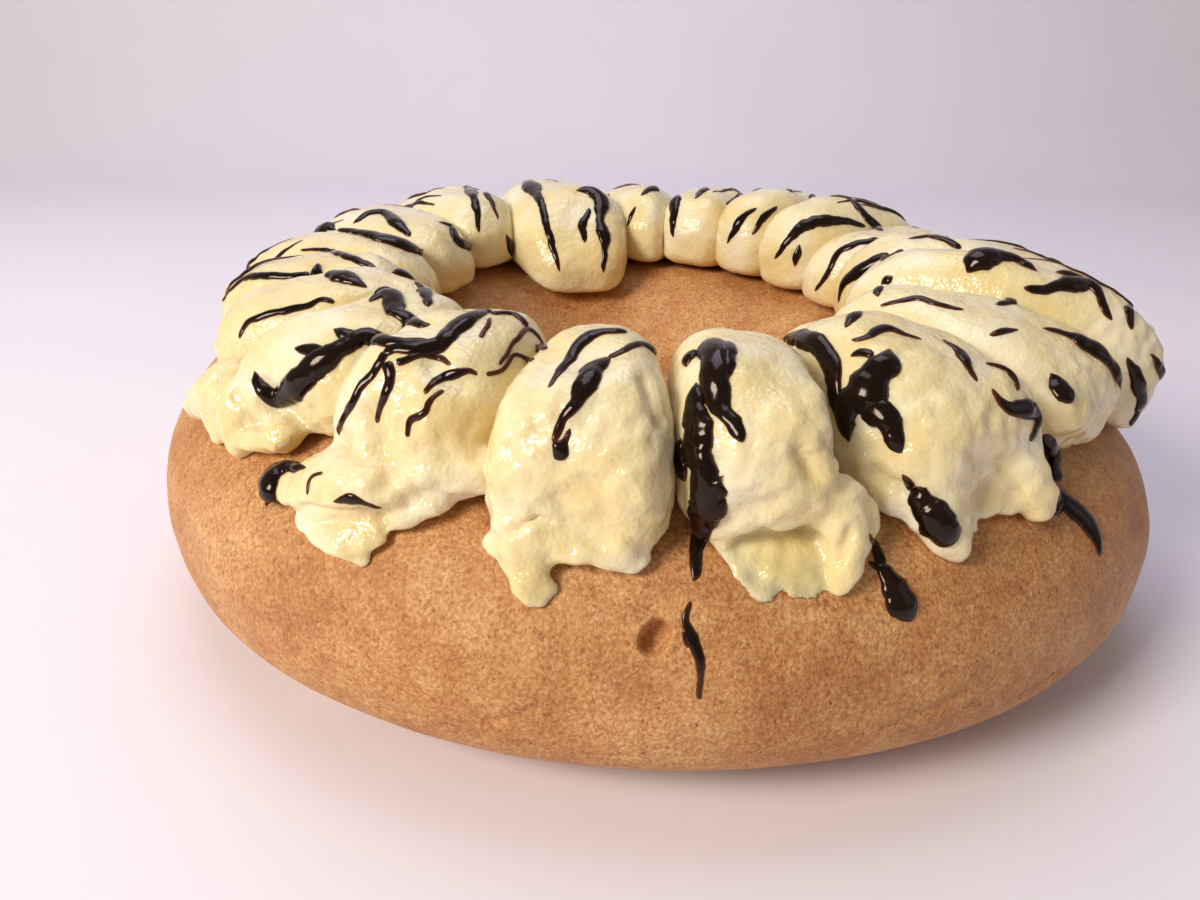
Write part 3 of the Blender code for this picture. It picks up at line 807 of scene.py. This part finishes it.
STREAKS["front_right"] = [
    (
        (1.0, 2.3, 2.2, 2.9, 3.3, 3.0),
        [(888, 348), (884, 362), (874, 376), (866, 390), (860, 404), (856, 414)],
    ),
    ((1.4, 2.0, 1.6, 0.8), [(862, 388), (848, 404), (846, 424), (850, 442)]),
    ((2.2, 1.9, 1.3, 1.1), [(868, 402), (884, 418), (893, 434), (900, 454)]),
    ((0.4, 0.7, 0.6), [(850, 356), (862, 352), (874, 356)]),
    ((0.4, 0.9, 0.4), [(851, 340), (869, 336), (887, 328), (906, 335), (922, 340)]),
    (
        (0.3, 0.7, 1.7, 2.5, 2.6, 2.3),
        [(902, 474), (912, 488), (922, 502), (933, 516), (943, 532), (951, 546)],
    ),
    ((0.4, 0.7, 0.8), [(869, 534), (876, 549), (883, 566)]),
    ((0.4, 0.6, 0.8), [(868, 561), (878, 567), (886, 574)]),
    ((0.6, 1.2, 2.0, 2.3, 1.5), [(877, 560), (885, 573), (893, 588), (903, 605), (912, 621)]),
    ((0.4, 0.9, 0.3), [(942, 339), (961, 353), (967, 367), (979, 381)]),
    ((0.3, 1.3, 0.8), [(991, 389), (1010, 408), (1032, 410), (1038, 420), (1030, 442)]),
    ((0.9, 1.3, 1.0), [(1044, 434), (1055, 461), (1054, 489)]),
    ((0.6, 1.7, 2.0, 0.9), [(1058, 498), (1072, 508), (1086, 522), (1096, 540), (1100, 557)]),
    ((0.4, 0.8, 0.4), [(985, 363), (1004, 369), (1016, 381), (1017, 391)]),
]
STREAKS["right"] = [
    ((0.5, 1.5, 1.6), [(1050, 373), (1063, 391), (1073, 400)]),
    (
        (0.4, 0.8, 1.7, 2.1, 1.4, 0.6),
        [(1042, 328), (1062, 333), (1082, 342), (1101, 355), (1118, 378), (1121, 405)],
    ),
    ((0.4, 1.2, 1.3, 0.6), [(1127, 357), (1137, 379), (1141, 400), (1131, 426)]),
    ((0.4, 1.1, 0.8), [(1150, 354), (1160, 368), (1161, 386)]),
    (
        (0.6, 0.9, 1.9, 1.9, 0.8, 0.5),
        [(1023, 288), (1042, 290), (1060, 286), (1078, 283), (1094, 288), (1103, 304), (1112, 321)],
    ),
    ((0.5, 1.2, 1.2), [(1055, 272), (1070, 275), (1086, 281)]),
    ((0.4, 1.0, 0.6), [(1106, 283), (1119, 291), (1129, 306), (1131, 330)]),
    (
        (1.8, 2.8, 2.6, 2.2, 1.4, 0.6),
        [(967, 273), (975, 263), (988, 256), (1006, 258), (1022, 263), (1038, 272)],
    ),
    ((0.4, 0.7, 0.4), [(880, 306), (900, 301), (918, 298), (943, 306), (964, 310)]),
    ((0.6, 1.0, 0.5), [(996, 305), (1006, 303), (1015, 300)]),
    ((0.4, 0.7, 0.3), [(989, 335), (1003, 331), (1018, 329)]),
    ((0.5, 1.1, 0.8), [(908, 239), (929, 237), (948, 241), (961, 249)]),
    ((0.4, 0.8, 0.6), [(880, 262), (892, 255), (903, 250)]),
    ((0.3, 0.6, 0.3), [(914, 281), (928, 277)]),
]
STREAKS["back"] = [
    ((0.5, 1.2, 0.6), [(695, 199), (713, 183), (731, 178), (752, 182), (774, 176), (791, 192)]),
    ((0.4, 1.0, 0.5), [(727, 244), (741, 219), (757, 208)]),
    ((0.4, 0.8, 0.4), [(752, 235), (763, 219), (777, 206)]),
    ((0.5, 1.6, 0.6), [(775, 260), (791, 237), (813, 222), (843, 221), (866, 226)]),
    ((0.4, 0.9, 0.4), [(795, 267), (799, 244)]),
    ((0.5, 1.2, 0.7), [(829, 196), (849, 199), (866, 217), (881, 231)]),
    ((0.4, 0.9, 0.5), [(815, 292), (831, 267), (843, 249), (877, 239)]),
    ((0.5, 1.6, 0.7), [(838, 303), (845, 281), (866, 267), (888, 256)]),
    ((0.4, 0.8, 0.4), [(877, 297), (881, 285), (893, 276)]),
    ((0.4, 0.9, 0.4), [(845, 328), (857, 314), (879, 306)]),
    ((1.0, 1.3, 0.6), [(656, 188), (649, 190), (641, 196)]),
    ((0.3, 0.6, 0.3), [(636, 206), (632, 215), (627, 227)]),
    ((0.8, 1.7, 1.2, 0.5), [(677, 196), (674, 208), (673, 220), (673, 238)]),
    ((1.0, 1.5, 1.0, 0.5), [(463, 184), (471, 192), (476, 206), (479, 233)]),
    ((0.4, 0.9, 0.4), [(485, 191), (493, 205), (498, 220)]),
    ((0.5, 1.2, 0.6), [(506, 234), (509, 243), (512, 256)]),
    ((1.4, 2.4, 1.2, 0.9, 0.8, 0.5), [(525, 182), (534, 190), (541, 203), (548, 230), (560, 272)]),
    (
        (1.0, 2.2, 2.0, 1.0, 1.6, 0.7, 0.5),
        [(576, 191), (590, 191), (601, 200), (600, 222), (605, 245), (603, 273)],
    ),
    ((0.6, 1.1, 0.6), [(589, 208), (583, 226), (585, 243)]),
    ((0.5, 1.4, 1.5, 0.5), [(438, 222), (452, 227), (457, 240), (472, 247)]),
]
STREAKS["left"] = [
    (
        (0.8, 1.6, 2.4, 2.6, 2.0, 1.0),
        [(316, 232), (338, 230), (362, 234), (385, 240), (405, 246), (423, 252)],
    ),
    ((0.8, 1.4, 1.5, 0.8), [(353, 224), (368, 214), (384, 213), (397, 223), (410, 237)]),
    ((0.4, 1.1, 0.6), [(300, 250), (324, 250), (348, 257), (372, 267)]),
    ((0.4, 0.9, 0.8), [(214, 315), (230, 291), (250, 277), (293, 276), (310, 274)]),
    ((1.0, 2.0, 0.8), [(310, 272), (330, 274), (350, 280), (367, 288)]),
    ((0.9, 1.6, 0.7), [(369, 302), (388, 293), (397, 312), (419, 324), (431, 324)]),
    ((0.4, 0.8, 0.5), [(239, 339), (247, 324), (259, 317), (285, 310), (307, 305), (323, 299), (335, 303)]),
    (
        (0.6, 1.0, 1.5, 1.4, 1.6, 2.2, 2.0, 1.5, 0.8),
        [
            (429, 340), (405, 342), (385, 341), (362, 336), (342, 347), (322, 360),
            (306, 374), (294, 388), (280, 398), (267, 394), (258, 383), (254, 371),
        ],
    ),
    ((0.5, 1.1, 0.8), [(333, 329), (345, 334), (362, 337)]),
    ((0.5, 1.0, 0.8), [(294, 348), (312, 351), (328, 352)]),
    ((0.5, 1.3, 0.7), [(391, 272), (409, 276), (424, 291), (428, 307)]),
]
UNSEEN_STREAKS = 44  # on the outer slopes that the photograph doesn't show
UNSEEN_DRAW = 11
UNSEEN_SEED = 700
UNSEEN_FROM = 342.0
UNSEEN_TO = 548.0
UNSEEN_START = (66.0, 88.0)
UNSEEN_END = (46.0, 62.0)
UNSEEN_DRIFT = (-3.0, 8.0)
UNSEEN_PLACE = (0.1, 0.9)  # where in its share of the way round each one starts
UNSEEN_HALF_WIDTH = (0.6, 1.7)
UNSEEN_TIP = 0.3
UNSEEN_SLIMMER = 0.6  # how wide it is nearer its ends, as a share of its widest
UNSEEN_STEPS = 10
ABOVE_CREAM = 0.04
CHOCOLATE_THICK = 0.50  # a streak's thickness, as a share of its half-width
FATTER = 1.16  # how much a streak spread as it ran
CHOCOLATE_EASE = 3  # times that a streak's line is evened out
FEWEST_RINGS = 10
CHOCOLATE_SINK = 0.0004
STREAK_SIDES = 16
STREAK_SPACING = 0.00032
LEAP = 0.012  # a longer step than this, from one pixel to the next, is a gap between dollops
SHORTEST = 0.0026
WANDER = (0.0030, 0.00035)  # length and reach of a streak's sideways wander
WANDER_SEED = 9.0
EDGE_SEED = 2.0  # its sign gives a streak's two edges waves of their own
SEED_STEP = 3.7  # from one streak's waves to the next one's
EDGE_WAVES = [(0.0042, 0.36), (0.0017, 0.24), (0.0008, 0.10)]  # length and share of the edge's waves
EVENED_WIDTH = 0.0035  # half-width at which the waves are half as strong
POINTED = 3.0  # how far a thin end tapers, in half-widths

# Dark couverture, melted and not quite set: near black with a brown tint where it is thin, and
# mirror smooth, so that it carries sharp bright glints.
CHOCOLATE_POOL = 5.0e-3
COCOA = [(0.35, "#100704"), (0.70, "#1C0E08")]
THIN = [(0.0, "#FFFFFF"), (0.30, "#000000")]  # by the thickness, up to 0.3 mm
THIN_COCOA = "#6A3517"
GLINT = "#FFE6D6"

chocolate, nodes, shader, place = new_material("melted dark chocolate")
pool = add(nodes, NOISE, Vector=place, Scale=1 / CHOCOLATE_POOL, Detail=2.0, Roughness=0.5)
cocoa = add(nodes, RAMP, {"stops": COCOA}, Fac=pool.outputs["Fac"])
thickness = add(nodes, "ShaderNodeAttribute", {"attribute_name": "thickness"})
thin = add(nodes, RAMP, {"stops": THIN}, Fac=thickness.outputs["Fac"])
brown = linear(THIN_COCOA)
tinted = add(nodes, MIX, lay_over, _0=thin.outputs["Color"], _6=cocoa.outputs["Color"], _7=brown)
ripple = add(nodes, BUMP, Height=pool.outputs["Fac"], Strength=0.35, Distance=0.0006)
plug(nodes, shader, Base_Color=tinted.outputs[2], Normal=ripple.outputs["Normal"])
plug(nodes, shader, Roughness=0.13, IOR=1.46, Specular_IOR_Level=0.38, Specular_Tint=linear(GLINT))

carrier = bmesh.new()
for piece in [loaf] + dollops:
    carrier.from_mesh(piece.data)
surface = BVHTree.FromBMesh(carrier)
carrier.free()


def streak_runs(pixels):
    """The unbroken runs of carried points along a streak's pixels."""
    runs = [[]]
    for pixel in curved(pixels, PIXEL_STEP):
        point = seen_at(pixel, surface)
        if point is None:
            continue
        if runs[-1] and (point - runs[-1][-1]).length > LEAP:
            runs.append([])
        runs[-1].append(point)
    return [run for run in runs if len(run) > 1 and (run[0] - run[-1]).length > SHORTEST]


def lay_streak(shape, line, widths, seed):
    """Lays one streak along carried points: a sphere drawn out, its poles at the two ends."""
    drawn = bmesh.new()
    depth_layer = drawn.verts.layers.float.new("thickness")
    line = curved(line, STREAK_SPACING)
    for _ in range(CHOCOLATE_EASE):
        middles = [(a + b * 2 + c) / 4 for a, b, c in zip(line, line[1:], line[2:])]
        line = [line[0]] + middles + [line[-1]]
    rings = max(FEWEST_RINGS, len(line))
    bmesh.ops.create_uvsphere(drawn, u_segments=STREAK_SIDES, v_segments=rings, radius=1.0)
    normals = [surface.find_nearest(point)[1] for point in line]
    length = STREAK_SPACING * (len(line) - 1)
    for vertex in drawn.verts:
        along = math.acos(max(-1.0, min(1.0, vertex.co.z))) / math.pi
        turned = math.atan2(vertex.co.y, vertex.co.x)
        station = along * (len(line) - 1)
        first = min(len(line) - 2, int(station))
        point = line[first].lerp(line[first + 1], station - first)
        ahead = (line[min(len(line) - 1, first + 2)] - line[max(0, first - 1)]).normalized()
        normal = normals[first].lerp(normals[first + 1], station - first).normalized()
        sideways = ahead.cross(normal).normalized()
        end_width = widths[0] if along < 0.5 else widths[-1]
        from_end = min(along, 1 - along)
        spread = along * (len(widths) - 1)
        before = min(len(widths) - 2, int(spread))
        eased = smooth_step(0.0, 1.0, spread - before)
        width = widths[before] * (1 - eased) + widths[before + 1] * eased
        reach = FATTER * width / 1000
        pointed = max(0.0, 1 - end_width / max(widths))
        taper = min(length / 2, FATTER * end_width / 1000 * (1 + POINTED * pointed))
        left = 1 - min(1.0, from_end * length / taper)
        blunt = max(0.0, 1 - left * left) ** (0.5 + 0.5 * pointed)
        side_seed = math.copysign(EDGE_SEED, math.cos(turned))
        edge = 1.0
        for wave, share in EDGE_WAVES:
            evened = share / (1 + reach / EVENED_WIDTH)
            edge += evened * noise.noise(Vector((seed, along * length / wave, side_seed)))
        wander = noise.noise(Vector((seed, along * length / WANDER[0], WANDER_SEED))) * WANDER[1]
        offset = math.cos(turned) * reach * blunt * edge + wander
        thick = reach * CHOCOLATE_THICK * blunt
        carried, skin, _, _ = surface.find_nearest(point + sideways * offset)
        up = math.sin(turned)
        lift = up * thick if up > 0 else up * CHOCOLATE_SINK * blunt
        vertex.co = carried + (skin * 0.5 + normal * 0.5).normalized() * lift
        vertex[depth_layer] = max(0.0, up * thick) * 1000
    merged(shape, drawn)


seed = 0
for group, streaks in STREAKS.items():
    shape = bmesh.new()
    for widths, pixels in streaks:
        for line in streak_runs(pixels):
            seed += 1
            lay_streak(shape, line, widths, seed * SEED_STEP)
    finish_mesh(f"drizzle_{group}", shape, [], chocolate)

# The outer slopes at the right, the back and the left, which the photograph doesn't show
draw = np.random.default_rng(UNSEEN_DRAW)
outside = bmesh.new()
for number in range(UNSEEN_STREAKS):
    along = number + draw.uniform(*UNSEEN_PLACE)
    degrees = UNSEEN_FROM + (UNSEEN_TO - UNSEEN_FROM) * along / UNSEEN_STREAKS
    start, end = draw.uniform(*UNSEEN_START), draw.uniform(*UNSEEN_END)
    drift = draw.uniform(*UNSEEN_DRIFT)
    fat = draw.uniform(*UNSEEN_HALF_WIDTH)
    line = []
    for step in range(UNSEEN_STEPS + 1):
        share = step / UNSEEN_STEPS
        angle = start + (end - start) * share
        above = on_ring(degrees + drift * share, angle, ABOVE_CREAM)
        line.append(surface.ray_cast(above, on_ring(degrees + drift * share, angle, 0.0) - above)[0])
    last = UNSEEN_TIP + fat * draw.uniform(0.0, UNSEEN_SLIMMER)
    widths = (UNSEEN_TIP, fat * UNSEEN_SLIMMER, fat, last)
    lay_streak(outside, line, widths, UNSEEN_SEED + number * SEED_STEP)
finish_mesh("drizzle_outside", outside, [], chocolate)


# ---------------------------------------------------------------------------------------------
# The studio
# A plain pale floor that sweeps up behind, a soft warm light at the left front, a cooler one
# above, a faint one at the right, and the camera where the photograph was taken from.

FLOOR_FRONT = -1.2
SWEEP_START = 0.55
SWEEP_RADIUS = 0.25
WALL_HEIGHT = 1.6
FLOOR_HALF_WIDTH = 1.8
SWEEP_STEPS = 24
PAINT_CLOUD = 111e-3
PAINT = [(0.0, "#EBE3EA"), (1.0, "#F1EAF0")]
LIT = Vector((0.0, 0.0, 0.03))  # what the lights look at
LIGHTS = [  # name, place, size, power and colour
    ("key", (-0.66, -0.56, 0.58), 0.36, 9.4, "#FFF8EC"),
    ("fill", (0.80, -0.30, 0.45), 0.50, 0.35, "#CFD6FF"),
    ("top", (-0.10, 0.25, 0.95), 0.60, 3.7, "#DCE4FF"),
]
ROOM = "#F6F0E6"
ROOM_STRENGTH = 0.27
SENSOR_WIDTH = 36.0
NEAREST_SEEN = 0.01

# Emulsion rolled on smooth board: matte, its tone a little uneven from one roll to the next
paint, nodes, shader, place = new_material("matte studio paint")
rolled = add(nodes, NOISE, Vector=place, Scale=1 / PAINT_CLOUD, Detail=4.0, Roughness=0.5)
shade = add(nodes, RAMP, {"stops": PAINT}, Fac=rolled.outputs["Fac"])
plug(nodes, shader, Base_Color=shade.outputs["Color"], Roughness=0.75)

sweep = bmesh.new()
profile = [(FLOOR_FRONT, 0.0)]
for step in range(SWEEP_STEPS + 1):
    turned = math.pi / 2 * step / SWEEP_STEPS
    profile.append((SWEEP_START + SWEEP_RADIUS * math.sin(turned), SWEEP_RADIUS * (1 - math.cos(turned))))
profile.append((SWEEP_START + SWEEP_RADIUS, WALL_HEIGHT))
edge = [sweep.verts.new((-FLOOR_HALF_WIDTH, y, z)) for y, z in profile]
edges = [sweep.edges.new(pair) for pair in zip(edge, edge[1:])]
pulled = bmesh.ops.extrude_edge_only(sweep, edges=edges)
moved = [item for item in pulled["geom"] if isinstance(item, bmesh.types.BMVert)]
bmesh.ops.translate(sweep, verts=moved, vec=(2 * FLOOR_HALF_WIDTH, 0.0, 0.0))
bmesh.ops.recalc_face_normals(sweep, faces=sweep.faces)
backdrop = settled("backdrop", sweep)
backdrop.shade_smooth()
backdrop.materials.append(paint)
in_scene("backdrop", backdrop)

for name, place, size, power, colour in LIGHTS:
    lamp = bpy.data.lights.new(name, "AREA")
    lamp.shape = "SQUARE"
    lamp.size = size
    lamp.energy = power
    lamp.color = linear(colour)[:3]
    light = in_scene(name, lamp)
    light.location = place
    light.rotation_euler = (LIT - Vector(place)).to_track_quat("-Z", "Y").to_euler()

room = bpy.data.worlds.new("studio")
room.use_nodes = True
room.node_tree.nodes["Background"].inputs["Color"].default_value = linear(ROOM)
room.node_tree.nodes["Background"].inputs["Strength"].default_value = ROOM_STRENGTH
bpy.context.scene.world = room
bpy.context.scene.view_settings.view_transform = "Standard"

camera_data = bpy.data.cameras.new("photograph")
camera_data.sensor_width = SENSOR_WIDTH
camera_data.lens = FOCAL_PIXELS * SENSOR_WIDTH / PHOTO_WIDTH
camera_data.clip_start = NEAREST_SEEN
camera = in_scene("photograph", camera_data)
facing = Matrix((EYE_RIGHT, EYE_UP, -FORWARD)).transposed().to_4x4()
camera.matrix_world = Matrix.Translation(EYE) @ facing
bpy.context.scene.camera = camera
